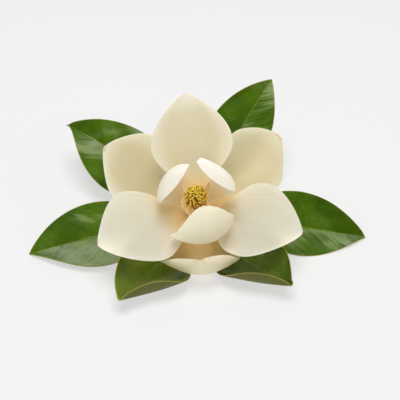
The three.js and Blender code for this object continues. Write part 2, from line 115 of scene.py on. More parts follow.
LEAVES = [
    Group(name="leaf_back_left", drop=16, azimuth=137, length=180,
          half_width=41, widest_at=0.9, blunt=0.82, lopsided=0.01,
          rise=[21, 7, 9], sway=[0, 1, 12], twist=[-2, -10, 2],
          left=Group(fold=[12, 2, 28], cup=[4, -20, 29]),
          right=Group(fold=[15, 6, 35], cup=[5, -24, 44])),
    Group(name="leaf_back_right", drop=16, azimuth=61, length=174,
          half_width=34, widest_at=0.91, blunt=0.91, lopsided=0.01,
          rise=[27, 26, 16], sway=[0, 0, -3], twist=[1, 1, 20],
          left=Group(fold=[15, 9, 26], cup=[5, -8, 26]),
          right=Group(fold=[15, 9, 14], cup=[5, -7, 4])),
    Group(name="leaf_left", drop=16, azimuth=197, length=165,
          half_width=43, widest_at=1.03, blunt=0.86, lopsided=0.09,
          rise=[0, -5, -5], sway=[1, -3, 4], twist=[3, -8, -1], rests=True,
          left=Group(fold=[9, 8, 13], cup=[1, -1, 3]),
          right=Group(fold=[27, 12, 24], cup=[12, 0, 19])),
    Group(name="leaf_right", drop=16, azimuth=-13, length=166,
          half_width=37, widest_at=1.07, blunt=0.79, lopsided=0,
          rise=[9, -8, -4], sway=[1, 8, 6], twist=[-3, 17, 11], rests=True,
          left=Group(fold=[24, 13, 23], cup=[12, 1, 20]),
          right=Group(fold=[21, 8, 17], cup=[10, -5, 10])),
    Group(name="leaf_front_left", drop=20, azimuth=-113, length=148,
          half_width=40, widest_at=1.3, blunt=0.83, lopsided=0.17,
          rise=[-14, 1, 20], sway=[-1, -9, 10], twist=[-1, -1, -23], rests=True,
          left=Group(fold=[-12, -16, -14], cup=[-11, 45, 170]),
          right=Group(fold=[-4, 27, 19], cup=[0, 36, 23])),
    Group(name="leaf_front_right", drop=20, azimuth=-61, length=142,
          half_width=38, widest_at=1.34, blunt=0.74, lopsided=-0.12,
          rise=[-16, 3, 21], sway=[4, 13, -1], twist=[9, 2, -5], rests=True,
          left=Group(fold=[-13, 13, 39], cup=[-2, 49, 53]),
          right=Group(fold=[7, -14, -27], cup=[-25, 44, 146])),
]

# ---- Sizes of the dressed pieces, in millimetres ----

TEPAL = Group(rows=72, half_columns=22, middle=1.25, margin=0.75, tip=0.35, rim=0.5, lift=0.5)
LEAF = Group(rows=120, half_columns=22, middle=0.95, margin=0.7, tip=0.3, rim=0.45, lift=0.9,
             petiole=2.9)
RIM_CROWDING = 1.6  # above 1 draws columns towards the margins
TIP_CROWDING = 0.85  # draws rows towards the tip
END_RIM = 0.15  # keeps a little thickness at a blade's very ends
MARGIN_MARK = 1.6  # how far in from the edge the margin's mark fades
FLOOR_GAP = 0.05  # no point of a leaf lies lower than this

# Unevenness of a blade: margin waves, one roll of its whole face, and a tepal's fine ribs. Start, foot
# and tip are the shares along between which they grow or fade.
WAVES = Group(count=3, fewest=1.2, most=3.2, slant=1.5, start=(0.2, 0.6))
ROLL = Group(share=0.35, cycles=1.3, slant=2.2)
RIBS = Group(height=0.07, across=26, foot=(0.1, 0.4), tip=(1, 0.8))

# Uneven tepal margins: for the left side (1) and the right (-1), the share of the width that they
# swing, how many swings they make along the tepal, and where one starts. They grow between two shares.
RIPPLES_START = (0.3, 0.5)
RIPPLES = {
    "tepal_inner_left": {1: (0.01, 2.6, 0.62), -1: (0.02, 2.2, 0.3)},
    "tepal_inner_right": {1: (0.02, 2.6, 0.62), -1: (0.01, 2.6, 0.62)},
    "tepal_inner_front": {1: (0.03, 3.2, 0.55), -1: (0.04, 3.4, 0.5)},
    "tepal_middle_left": {1: (0.012, 3, 0.2), -1: (0.01, 2, 0.1)},
    "tepal_middle_right": {1: (0.01, 2.4, 0.3), -1: (0.015, 3, 0.6)},
    "tepal_outer_right": {1: (0.015, 2.6, 0.3), -1: (0.012, 3, 0.4)},
    "tepal_outer_left": {1: (0.012, 2.2, 0.1), -1: (0.015, 3, 0.7)},
}

# Foot is the share of a leaf over which a form grows to its full depth, past the petiole.
MIDRIB = Group(groove=0.45, groove_width=1.5, groove_foot=0.1, groove_at_tip=0.35,
               ridge=1, ridge_width=1.5, ridge_foot=0.05, ridge_at_tip=0.15, on_petiole=0.6)
VEINS = Group(spacing=11.5, forward=0.62, bend=0.009, depth=0.11, width=1.5, quilt=0.06, below=0.5,
              foot=0.12, tip=0.93, margin=0.7)

# Angles are in degrees. Along, nod, lean, turn and swirl_most are the most that a random draw
# adds or takes off. Along is a share of the gap between two stamens.
STAMENS = Group(rows=12, per_row=38, width=1.9, thickness=1.3, sunk=2, reach=1.8, shorter=0.7,
                along=0.15, nod=9, lean=7, sides=6)
STAMEN_WIDTHS = ((0, 1), (0.45, 1), (0.75, 0.92), (0.9, 0.72), (1, 0.3))  # shares along, of width
STYLES = Group(count=120, width=1.75, flatness=0.9, sunk=1.4, root=0.6, length=4.6, shortest=0.75,
               curl=150, uncurled=70, overcurled=40, straight_share=0.15, narrows=0.3, tip=0.55,
               turn=6, tilt_in=12, tilt_out=10, lean=12, swirl=35, swirl_most=70,
               sides=7, steps=10)
CONE_SHAPE = Group(power=2.4, inset=0.2, cut=0.97, rings=14)
STYLE_SPREAD = Group(lowest=0.05, reach=0.475, crowding=0.42, outward=62, upright=0.7)
CORE = Group(sides=40, step=1.2, thinnest=0.3)

BARK = Group(sunk=0.14, grooves=7, groove=0.08, groove_slant=0.5,
             ridges=13, ridge=0.06, ridge_slant=0.9)

GOLDEN_ANGLE = math.pi * (3 - math.sqrt(5))
SEEDS = Group(stamens=11, carpels=23, first_tepal=1, first_leaf=31)


# ---- Small helpers ----

def through(values, t):
    """The smooth curve through three values, at t = 0, 1/2 and 1."""
    a, b, c = values
    return a * (1 - t) * (1 - 2 * t) + 4 * b * t * (1 - t) + c * t * (2 * t - 1)


def smooth(low, high, value):
    """0 below low, 1 above high, and an S between them."""
    share = np.clip((value - low) / (high - low), 0, 1)
    return share * share * (3 - 2 * share)


def lerp(a, b, share):
    return a + (b - a) * share


def turn(axis, degrees):
    """A 4 x 4 rotation about x, y or z."""
    cosine, sine = math.cos(math.radians(degrees)), math.sin(math.radians(degrees))
    first, second = {"x": (1, 2), "y": (2, 0), "z": (0, 1)}[axis]
    matrix = np.eye(4)
    matrix[first, first] = matrix[second, second] = cosine
    matrix[second, first], matrix[first, second] = sine, -sine
    return matrix


def move(x, y, z):
    matrix = np.eye(4)
    matrix[:3, 3] = (x, y, z)
    return matrix


def placed(matrix, points):
    return points @ matrix[:3, :3].T + matrix[:3, 3]


def either_way(draw, most):
    """A random amount from -most to most."""
    return draw.uniform(-most, most)


def around(sides):
    """Angles evenly spaced round a circle."""
    return math.tau * np.arange(sides) / sides


FLOWER = move(*CENTRE) @ move(*BLOOM_FOOT) @ turn("x", BLOOM_LEAN)


# ---- Pieces ----

def shown(name, data):
    """A new object of the scene that holds a mesh, lamp or camera."""
    made = bpy.data.objects.new(name, data)
    bpy.context.scene.collection.objects.link(made)
    return made


def piece(name, points, faces, marks, material):
    """One object in place of the CAD node of the same name. points are in millimetres."""
    mesh = bpy.data.meshes.new(name)
    mesh.from_pydata((np.asarray(points) * METRE).tolist(), [], faces)
    for key, values in marks.items():
        mark = mesh.attributes.new(key, "FLOAT_VECTOR", "POINT")
        mark.data.foreach_set("vector", np.ascontiguousarray(values, dtype=np.float32).ravel())
    shape = bmesh.new()
    shape.from_mesh(mesh)
    bmesh.ops.recalc_face_normals(shape, faces=shape.faces)
    shape.to_mesh(mesh)
    shape.free()
    mesh.shade_smooth()
    mesh.materials.append(material)
    made = shown(name + "_dressed", mesh)
    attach(made, "root")
    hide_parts(name)


def ring_faces(rings, sides):
    """Quads between rings of points."""
    faces = []
    for i in range(rings - 1):
        for k in range(sides):
            a, b = i * sides + k, i * sides + (k + 1) % sides
            faces.append([a, b, b + sides, a + sides])
    return faces


def tube(rings):
    """Points and faces of a tube through rings of points, closed at both ends."""
    sides = len(rings[0])
    faces = ring_faces(len(rings), sides)
    last = (len(rings) - 1) * sides
    faces.append([sides - 1 - k for k in range(sides)])
    faces.append([last + k for k in range(sides)])
    return np.concatenate(rings), faces


# ---- Blades: tepals and leaves ----

def blade_axes(blade, t):
    """Directions along the mid line, across it to the left, and out of the upper face."""
    rise = np.radians(through(blade.rise, t))
    sway = np.radians(through(blade.sway, t))
    twist = np.radians(through(blade.twist, t))[:, None]
    along = np.stack([np.cos(rise) * np.cos(sway), np.cos(rise) * np.sin(sway), np.sin(rise)], 1)
    level = np.stack([-np.sin(sway), np.cos(sway), np.zeros_like(t)], 1)
    up = np.cross(along, level)
    left = level * np.cos(twist) + up * np.sin(twist)
    face = up * np.cos(twist) - level * np.sin(twist)
    return along, left, face


def mid_line(blade, t):
    """Points of the mid line, by adding up its direction in small steps."""
    middles = (np.arange(PATH_STEPS) + 0.5) / PATH_STEPS
    along = blade_axes(blade, middles)[0] * (blade.length / PATH_STEPS)
    path = np.concatenate([np.zeros((1, 3)), np.cumsum(along, axis=0)])
    ends = np.arange(PATH_STEPS + 1) / PATH_STEPS
    return np.stack([np.interp(t, ends, path[:, k]) for k in range(3)], 1)


def on_arc(distance, half_width, fold, cup):
    """How far a point lies to the side and above, when a half is laid along a circular arc."""
    bend = np.where(np.abs(cup) < LEAST_BEND, LEAST_BEND, cup)
    end = fold + bend * distance / half_width
    side = half_width / bend * (np.sin(end) - np.sin(fold))
    lift = half_width / bend * (np.cos(fold) - np.cos(end))
    return side, lift


def outline(blade, t, is_leaf, tip):
    """Half the width at t, before lopsided makes one half wider than the other."""
    if is_leaf:
        start = PETIOLE.length / blade.length
        along = np.clip((t - start) / (1 - start), 0, 1)
        foot = PETIOLE.half_width * np.maximum(0, 1 - PETIOLE.tapers * along)
    else:
        along = t
        foot = TEPAL_FOOT.half_width * (1 - t) ** TEPAL_FOOT.decay
    body = np.sin(np.pi * along ** blade.widest_at)
    return np.maximum(blade.half_width * np.maximum(body, 0) ** blade.blunt, foot) + tip


def half_turns(blade, t, is_leaf, sign):
    """The fold at the mid line and the further cup of one half, in radians."""
    if not is_leaf:
        return np.zeros_like(t), np.radians(through(blade.cup, t))
    start = PETIOLE.length / blade.length
    opening = np.clip((t - start) * blade.length / PETIOLE.opens, 0, 1)
    half = blade.left if sign > 0 else blade.right
    fold = opening * through(half.fold, t)
    cup = opening * through(half.cup, t)
    return np.radians(fold), np.radians(cup)


def rippled(blade, t, sign):
    """How much wider or narrower one half is at t, where a tepal's margin is uneven."""
    amount, cycles, start = RIPPLES.get(blade.name, {}).get(sign, (0, 0, 0))
    return 1 + amount * np.sin(math.tau * cycles * (t - start)) * smooth(*RIPPLES_START, t)


def middle_surface(blade, t, u, is_leaf, tip, is_solid=False):
    """Points of the middle surface at rows t and columns u, and how far out each lies."""
    spot = mid_line(blade, t)
    _, left, face = blade_axes(blade, t)
    width = outline(blade, t, is_leaf, tip)
    points = np.zeros((len(t), len(u), 3))
    out = np.zeros((len(t), len(u)))
    for j, value in enumerate(u):
        sign = -1 if value < 0 else 1
        half = width * (1 + sign * blade.lopsided)
        half = half if is_solid else half * rippled(blade, t, sign)
        fold, cup = half_turns(blade, t, is_leaf, sign)
        bend = np.minimum(1, half / FLATTENS)
        side, lift = on_arc(abs(value) * half, half, bend * fold, bend * cup)
        points[:, j] = spot + left * (sign * side)[:, None] + face * lift[:, None]
        out[:, j] = value * half
    return points, out


def surface_normals(grid):
    """Unit normals of a grid of points: at each, the sum of its triangles' normals."""
    a, b, c, d = grid[:-1, :-1], grid[1:, :-1], grid[1:, 1:], grid[:-1, 1:]
    first = np.cross(b - a, c - a)
    second = np.cross(c - a, d - a)
    normals = np.zeros_like(grid)
    normals[:-1, :-1] += first + second
    normals[1:, :-1] += first
    normals[1:, 1:] += first + second
    normals[:-1, 1:] += second
    normals[-1] = normals[-1, grid.shape[1] // 2]
    return normals / np.linalg.norm(normals, axis=2, keepdims=True)


def crowded(count, crowding):
    """Shares from 0 to 1 that lie closer together towards 1."""
    s = np.arange(count + 1) / count
    return s + crowding * (1 - (1 - s) ** 2 - s)


def solid_points(blade, is_leaf):
    """The corners of the CAD solid, in the blade's own frame."""
    size = SOLID_LEAF if is_leaf else SOLID_TEPAL
    t = crowded(size.rows, SOLID_TIP_CROWDING)
    u = 2 * np.arange(size.columns + 1) / size.columns - 1
    grid, _ = middle_surface(blade, t, u, is_leaf, size.tip, is_solid=True)
    share = (np.arange(size.rows + 1) / size.rows)[:, None]
    edge = np.maximum(np.abs(u)[None, :], share ** SQUARE_TIP)
    depth = lerp(size.middle, size.margin, edge ** size.thins)
    if is_leaf:
        depth = lerp(size.petiole, depth, np.clip(share * PETIOLE_FADE, 0, 1))
    offset = surface_normals(grid) * (depth / 2)[:, :, None]
    return np.concatenate([(grid + offset).reshape(-1, 3), (grid - offset).reshape(-1, 3)])


def slide(matrix, azimuth, distance):
    angle = math.radians(azimuth)
    return move(math.cos(angle) * distance, math.sin(angle) * distance, 0) @ matrix


def seat(points, matrix, azimuth, axis_point, axis, core_radius):
    """Slides a blade outwards until its foot stands clear of the round core."""
    reach = np.linalg.norm(np.cross(placed(matrix, points) - axis_point, axis), axis=1)
    return slide(matrix, azimuth, core_radius + FIT - reach.min())


def tepal_place(blade):
    """Where a tepal stands, from its own frame to the world's."""
    azimuth, core = blade.azimuth, STALK.torus_radius
    matrix = slide(move(0, 0, WHORL_HEIGHT[blade.whorl]) @ turn("z", azimuth), azimuth, core + FIT)
    up = np.array([0, 0, 1])
    return FLOWER @ seat(solid_points(blade, False), matrix, azimuth, np.zeros(3), up, core)


def leaf_place(blade):
    """Where a leaf lies: against the stalk, and tipped about its foot until it rests."""
    axis = FLOWER[:3, 2]
    start = BLOOM_FOOT - axis * blade.drop
    points = solid_points(blade, True)
    azimuth = blade.azimuth
    matrix = slide(move(*start) @ turn("z", azimuth), azimuth, STALK.radius + LEAF_START)
    matrix = seat(points, matrix, azimuth, start, axis, STALK.radius + STALK.scar_rise)
    foot = matrix[:3, 3].copy()
    tilt = 0
    for _ in range(REST_TURNS if hasattr(blade, "rests") else 0):
        world = placed(matrix, points)
        lowest = world[world[:, 2].argmin()]
        run = math.hypot(lowest[0] - foot[0], lowest[1] - foot[1])
        tilt += math.degrees(math.atan2(lowest[2], run))
        matrix = move(*foot) @ turn("z", azimuth) @ turn("y", tilt)
    return move(*CENTRE) @ matrix


def waves(blade_seed, t, u, lift):
    """A gentle seeded unevenness of a blade, strongest at the margins and none at the foot."""
    draw = random.Random(blade_seed)
    edge = np.abs(u) ** 2
    total = np.zeros_like(t * u)
    for _ in range(WAVES.count):
        phase = draw.uniform(0, math.tau)
        cycles = draw.uniform(WAVES.fewest, WAVES.most)
        slant = either_way(draw, WAVES.slant)
        wave = np.sin(math.tau * cycles * t + slant * u * math.pi + phase)
        total += edge * wave / WAVES.count
    phase = draw.uniform(0, math.tau)
    roll = np.sin(math.tau * ROLL.cycles * t + ROLL.slant * u + phase)
    total += ROLL.share * roll
    return lift * total * smooth(*WAVES.start, t)


def blade_mesh(blade, is_leaf, size, upper_relief, lower_relief, seed):
    """Points, faces and marks of one closed blade with a rounded margin.

    The mark "place" holds millimetres to the left, millimetres along and +1 or -1 for the face.
    The mark "share" holds the shares across (-1 to 1) and along (0 to 1), and 1 at the margin.
    """
    t = crowded(size.rows, TIP_CROWDING)
    count = size.half_columns
    out_share = 1 - (1 - np.arange(count + 1) / count) ** RIM_CROWDING
    u = np.concatenate([-out_share[:0:-1], out_share])
    grid, out = middle_surface(blade, t, u, is_leaf, size.tip)
    inward = np.abs(out[:, [0]]) * (out < 0) + np.abs(out[:, [-1]]) * (out >= 0) - np.abs(out)
    raised = waves(seed, t[:, None], u[None, :], size.lift)
    grid = grid + surface_normals(grid) * raised[:, :, None]
    normals = surface_normals(grid)

    to_end = (1 - t)[:, None] * blade.length
    rim = np.minimum(inward, to_end + END_RIM) / size.rim
    rounding = np.sqrt(np.clip(1 - (1 - np.clip(rim, 0, 1)) ** 2, 0, 1))
    ones = np.ones_like(out)
    depth = lerp(size.middle, size.margin, np.abs(u)[None, :] ** 2 * ones)
    if is_leaf:
        depth = lerp(size.petiole, depth, np.clip(t[:, None] * PETIOLE_FADE, 0, 1))
    half = depth / 2 * rounding
    upper = grid + normals * (half + upper_relief(t[:, None], out) * rounding)[:, :, None]
    lower = grid - normals * (half + lower_relief(t[:, None], out) * rounding)[:, :, None]

    inner = slice(len(u) - 2, 0, -1)
    rings = np.concatenate([upper, lower[:, inner]], axis=1)
    sides = rings.shape[1]
    faces = ring_faces(len(t), sides)
    for base in (0, (len(t) - 1) * sides):
        for k in range(len(u) - 1):
            a, b = base + k, base + k + 1
            c, d = base + (sides - k - 1) % sides, base + (sides - k) % sides
            corners = [a, b, c, d]
            faces.append([corner for n, corner in enumerate(corners) if corner not in corners[:n]])

    def looped(values):
        return np.concatenate([values, values[:, inner]], axis=1)

    face_sign = np.concatenate([ones, -ones[:, inner]], axis=1)
    face_sign[:, [0, len(u) - 1]] = 0
    along = t[:, None] * ones
    place = np.stack([looped(out), looped(along * blade.length), face_sign], 2)
    across = u[None, :] * ones
    margin = np.clip(1 - inward / MARGIN_MARK, 0, 1)
    share = np.stack([looped(across), looped(along), looped(margin)], 2)
    marks = {"place": place.reshape(-1, 3), "share": share.reshape(-1, 3)}
    return rings.reshape(-1, 3), faces, marks


def add_tepal(blade, seed):
    def ribs(t, out):
        half = np.maximum(np.abs(out[:, [0]]), 1)
        wave = np.sin(out / half * RIBS.across)
        return RIBS.height * wave * smooth(*RIBS.foot, t) * smooth(*RIBS.tip, t)

    def furrows(t, out):
        return -ribs(t, out)

    points, faces, marks = blade_mesh(blade, False, TEPAL, ribs, furrows, seed)
    world = placed(tepal_place(blade), points)
    material = tepal_material(blade, seed)
    piece(blade.name, world, faces, marks, material)


def vein_phase(t, out, length):
    """Counts lateral veins along a leaf: whole numbers lie on them, and they sweep forward."""
    reach = np.abs(out)
    ahead = VEINS.forward * reach + VEINS.bend * reach ** 2
    stagger = np.where(out > 0, 0.5, 0)
    return (t * length - ahead) / VEINS.spacing + stagger


def add_leaf(blade, seed):
    length = blade.length
    start = PETIOLE.length / length

    def laterals(t, out):
        phase = vein_phase(t, out, length)
        away = np.abs(phase - np.round(phase)) * VEINS.spacing
        line = np.exp(-(away / VEINS.width) ** 2)
        half = np.maximum(np.abs(out).max(axis=1, keepdims=True), 1)
        reach = smooth(1, VEINS.margin, np.abs(out) / half)
        open_blade = smooth(start, start + VEINS.foot, t) * smooth(1, VEINS.tip, t)
        return line, reach * open_blade

    def upper(t, out):
        line, reach = laterals(t, out)
        full = start + MIDRIB.groove_foot
        groove = np.exp(-(out / MIDRIB.groove_width) ** 2) * smooth(start, full, t)
        groove *= lerp(1, MIDRIB.groove_at_tip, t)
        quilted = VEINS.quilt * (1 - line) - VEINS.depth * line
        return reach * quilted - MIDRIB.groove * groove

    def lower(t, out):
        line, reach = laterals(t, out)
        first, full = start * MIDRIB.on_petiole, start + MIDRIB.ridge_foot
        ridge = np.exp(-(out / MIDRIB.ridge_width) ** 2) * smooth(first, full, t)
        ridge *= lerp(1, MIDRIB.ridge_at_tip, t)
        return VEINS.below * VEINS.depth * reach * line + MIDRIB.ridge * ridge

    points, faces, marks = blade_mesh(blade, True, LEAF, upper, lower, seed)
    world = placed(leaf_place(blade), points)
    world[:, 2] = np.maximum(world[:, 2], FLOOR_GAP)
    piece(blade.name, world, faces, marks, leaf_material(blade, seed))


# ---- Flower centre ----

def lathe(profile, sides, relief=None):
    """A closed surface turned about +Z from pairs of radius and height, from the bottom up."""
    angles = around(sides)
    rings = []
    for radius, height in profile:
        spread = radius if relief is None else radius + relief(angles, height)
        rings.append(np.stack([spread * np.cos(angles), spread * np.sin(angles),
                               np.full(sides, height)], 1))
    return tube(rings)


def refined(profile, step):
    """The same profile with points no further apart than step."""
    fine = [profile[0]]
    for (r0, h0), (r1, h1) in zip(profile, profile[1:]):
        pieces = max(1, math.ceil(math.hypot(r1 - r0, h1 - h0) / step))
        fine += [(lerp(r0, r1, k / pieces), lerp(h0, h1, k / pieces)) for k in range(1, pieces + 1)]
    return fine


class Parts:
    """Gathers a turned core and the many small closed shapes on it into one piece."""

    def __init__(self, core):
        self.points, self.faces, self.share, self.count = [], [], [], 0
        points, faces = lathe(core, CORE.sides)
        self.add(points, faces, np.zeros_like(points))

    def add(self, points, faces, share):
        self.points.append(points)
        self.share.append(share)
        self.faces += [[corner + self.count for corner in face] for face in faces]
        self.count += len(points)

    def make(self, name, material):
        points = placed(FLOWER, np.concatenate(self.points))
        marks = {"share": np.concatenate(self.share)}
        piece(name, points, self.faces, marks, material)


def add_stalk():
    lean = math.radians(BLOOM_LEAN)
    radius, rise, width = STALK.radius, STALK.scar_rise, STALK.scar_width
    head, bottom, top = STALK.torus_radius, STALK.torus_bottom, STALK.torus_top
    cut = -(BLOOM_FOOT[2] - radius * math.sin(lean)) / math.cos(lean)
    # The small numbers round off the cut end, the swelling and its top.
    profile = [(radius - 0.5, cut), (radius - 0.1, cut + 0.3)]
    for height in STALK.scar_heights:
        profile += [(radius, height - width / 2), (radius + rise, height), (radius, height + width / 2)]
    profile += [
        (radius + 0.3, bottom - 1),
        (head - 0.3, bottom + 1.5),
        (head - 0.1, top - 1.4),
        (head - 1.2, top - 0.2),
        (0.4, top - 0.1),
    ]

    def bark(angles, height):
        grooves = BARK.groove * np.sin(BARK.grooves * angles + height * BARK.groove_slant)
        ridges = BARK.ridge * np.sin(BARK.ridges * angles - height * BARK.ridge_slant)
        return -BARK.sunk + grooves + ridges

    points, faces = lathe(refined(profile, STALK.step), STALK.sides, bark)
    piece("flower_stalk", placed(FLOWER, points), faces, {}, stalk_material())


def drum_profile():
    """Radius and height of the drum that the stamens stand out of."""
    middle_low = (DRUM.bottom + DRUM.widest) / 2
    middle_high = (DRUM.top + DRUM.widest) / 2
    return [(DRUM.foot_radius, DRUM.bottom), (DRUM.radius * DRUM.below, middle_low),
            (DRUM.radius, DRUM.widest), (DRUM.radius * DRUM.above, middle_high),
            (DRUM.top_radius, DRUM.top)]


def stamen(draw):
    """A flat strap along +Z that narrows to a blunt tip, with shares along it."""
    sides = STAMENS.sides
    length = STAMENS.sunk + STAMENS.reach - draw.uniform(0, STAMENS.shorter)
    angles = around(sides)
    rings, share = [], []
    for along, size in STAMEN_WIDTHS:
        x = STAMENS.thickness / 2 * size * np.cos(angles)
        y = STAMENS.width / 2 * size * np.sin(angles)
        rings.append(np.stack([x, y, np.full(sides, along * length)], 1))
        share.append(np.tile([draw.random(), along, 0], (sides, 1)))
    return *tube(rings), np.concatenate(share)


def add_stamens():
    draw = random.Random(SEEDS.stamens)
    profile = drum_profile()
    core = [(CORE.thinnest, DRUM.bottom)] + profile + [(CORE.thinnest, DRUM.top)]
    parts = Parts(refined(core, CORE.step))
    for row in range(STAMENS.rows):
        along = (row + 0.5) / STAMENS.rows * (len(profile) - 1)
        low, high = profile[int(along)], profile[int(along) + 1]
        radius = lerp(low[0], high[0], along - int(along))
        height = lerp(low[1], high[1], along - int(along))
        slope = math.degrees(math.atan2(low[0] - high[0], high[1] - low[1]))
        count = round(STAMENS.per_row * radius / DRUM.radius)
        for k in range(count):
            shape, shape_faces, shape_share = stamen(draw)
            angle = 360 * (k + (row % 2) / 2 + either_way(draw, STAMENS.along)) / count
            matrix = (turn("z", angle) @ move(radius, 0, height)
                      @ turn("y", 90 - slope + either_way(draw, STAMENS.nod))
                      @ turn("x", either_way(draw, STAMENS.lean))
                      @ move(0, 0, -STAMENS.sunk))
            parts.add(placed(matrix, shape), shape_faces, shape_share)
    parts.make("stamens", stamen_material())


def style(draw, height_share):
    """A stout style that leaves the cone straight and curls over into a hook, blunt at its tip."""
    sides, steps = STYLES.sides, STYLES.steps
    angles = around(sides)
    curl = math.radians(STYLES.curl + draw.uniform(-STYLES.uncurled, STYLES.overcurled))
    length = STYLES.length * draw.uniform(STYLES.shortest, 1)
    stride = (length + STYLES.sunk) / steps
    x, z = 0, -STYLES.sunk
    pale = draw.random()
    rings, share = [], []
    for i in range(steps + 1):
        along = i / steps
        bend = curl * smooth(STYLES.straight_share, 1, along)
        half = STYLES.width / 2 * (1 - STYLES.narrows * along ** 2)
        half *= STYLES.tip if i == steps else 1
        across = half * np.cos(angles)
        rings.append(np.stack([x + across * math.cos(bend), half * STYLES.flatness * np.sin(angles),
                               z - across * math.sin(bend)], 1))
        share.append(np.tile([pale, along, height_share], (sides, 1)))
        x += math.sin(bend) * stride
        z += math.cos(bend) * stride
    return *tube(rings), np.concatenate(share)


def add_carpels():
    draw = random.Random(SEEDS.carpels)
    height = CONE.top - CONE.bottom

    def bulge(s):
        return CONE.radius * math.sqrt(max(0, 1 - s ** CONE_SHAPE.power))

    core = [(CORE.thinnest, CONE.bottom)]
    for s in np.linspace(0, CONE_SHAPE.cut, CONE_SHAPE.rings):
        radius = max(bulge(s) - CONE_SHAPE.inset, CORE.thinnest)
        core.append((radius, CONE.bottom + s * height))
    parts = Parts(core)
    for k in range(STYLES.count):
        share_up = k / (STYLES.count - 1)
        crowded_up = share_up + share_up ** STYLE_SPREAD.crowding
        s = STYLE_SPREAD.lowest + STYLE_SPREAD.reach * crowded_up
        outward = STYLE_SPREAD.outward * (1 - s) ** STYLE_SPREAD.upright
        matrix = (turn("z", math.degrees(k * GOLDEN_ANGLE) + either_way(draw, STYLES.turn))
                  @ move(bulge(s) - STYLES.root, 0, CONE.bottom + s * height)
                  @ turn("y", outward + draw.uniform(-STYLES.tilt_in, STYLES.tilt_out))
                  @ turn("x", either_way(draw, STYLES.lean))
                  @ turn("z", STYLES.swirl + either_way(draw, STYLES.swirl_most)))
        shape, shape_faces, shape_share = style(draw, s)
        parts.add(placed(matrix, shape), shape_faces, shape_share)
    parts.make("carpels", carpel_material())


# ---- Materials ----

def colour(red, green, blue):
    """A linear colour from the 0 to 255 numbers of a paint chart."""
    def linear(value):
        share = value / 255
        return share / 12.92 if share <= 0.04045 else ((share + 0.055) / 1.055) ** 2.4
    return linear(red), linear(green), linear(blue), 1


class Nodes:
    """Adds nodes to a tree. The seed shifts all of its noise."""

    def __init__(self, tree, seed=0):
        self.tree = tree
        self.seed = seed

    def node(self, kind):
        return self.tree.nodes.new("ShaderNode" + kind)

    def put(self, value, socket):
        """Gives a socket a plain value, or links another node's output to it."""
        if isinstance(value, bpy.types.NodeSocket):
            self.tree.links.new(value, socket)
        else:
            socket.default_value = value

    def feed(self, node, **values):
        """Sets inputs of a node: an underscore stands for a space in the socket's name."""
        for name, value in values.items():
            self.put(value, node.inputs[name.replace("_", " ")])

    def fill(self, sockets, *values):
        """Gives sockets their values in the node's own order."""
        for value, socket in zip(values, sockets):
            self.put(value, socket)

    def mark(self, name):
        """The three numbers that a mesh mark holds at each point."""
        read = self.node("Attribute")
        read.attribute_name = name
        parts = self.node("SeparateXYZ")
        self.put(read.outputs["Vector"], parts.inputs[0])
        return tuple(parts.outputs)

    def maths(self, operation, *values):
        made = self.node("Math")
        made.operation = operation
        self.fill(made.inputs, *values)
        return made.outputs[0]

    def times(self, first, second):
        return self.maths("MULTIPLY", first, second)

    def plus(self, first, second):
        return self.maths("ADD", first, second)

    def ramp(self, value, low, high, out_low=0, out_high=1):
        """Goes smoothly from out_low at low to out_high at high."""
        made = self.node("MapRange")
        made.interpolation_type = "SMOOTHSTEP"
        self.feed(made, Value=value, From_Min=low, From_Max=high, To_Min=out_low, To_Max=out_high)
        return made.outputs["Result"]

    def blend(self, share, first, second):
        """Mixes two colours; share 0 gives the first."""
        made = self.node("Mix")
        made.data_type = "RGBA"
        self.fill([socket for socket in made.inputs if socket.enabled], share, first, second)
        return next(socket for socket in made.outputs if socket.enabled)

    def noise(self, scale, detail, roughness=0.5, vector=None):
        """Noise from 0 to 1, by default over the object's own space in metres."""
        made = self.node("TexNoise")
        made.noise_dimensions = "4D"
        space = vector or self.object_space()
        self.feed(made, Scale=scale, Detail=detail, Roughness=roughness, W=self.seed, Vector=space)
        return made.outputs["Fac"]

    def cells(self, scale):
        """How far a point is from the edge of its cell, over the object's own space in metres."""
        made = self.node("TexVoronoi")
        made.feature = "DISTANCE_TO_EDGE"
        self.feed(made, Scale=scale, Vector=self.object_space())
        return made.outputs["Distance"]

    def object_space(self):
        return self.node("TexCoord").outputs["Object"]

    def vector(self, x, y, z):
        made = self.node("CombineXYZ")
        self.fill(made.inputs, x, y, z)
        return made.outputs[0]


class Recipe(Nodes):
    """One procedural material, built node by node."""

    def __init__(self, name, seed=0):
        self.material = bpy.data.materials.new(name)
        self.material.use_nodes = True
        super().__init__(self.material.node_tree, seed)
        self.tree.nodes.clear()
        self.shader = self.node("BsdfPrincipled")
        self.output = self.node("OutputMaterial")
        self.feed(self.output, Surface=self.shader.outputs["BSDF"])

    def set(self, **values):
        """Sets inputs of the shader."""
        self.feed(self.shader, **values)

    def let_light_through(self, share, tint):
        """Lets that share of the light pass through, as a thin petal does."""
        thin = self.node("BsdfTranslucent")
        self.feed(thin, Color=tint)
        mixed = self.node("MixShader")
        self.fill(mixed.inputs, share, self.shader.outputs["BSDF"], thin.outputs["BSDF"])
        self.feed(self.output, Surface=mixed.outputs[0])

    def bump(self, height, millimetres):
        """Raises the surface, in shading alone, by that much where height is 1."""
        made = self.node("Bump")
        self.feed(made, Strength=1, Distance=millimetres * METRE, Height=height)
        self.set(Normal=made.outputs["Normal"])


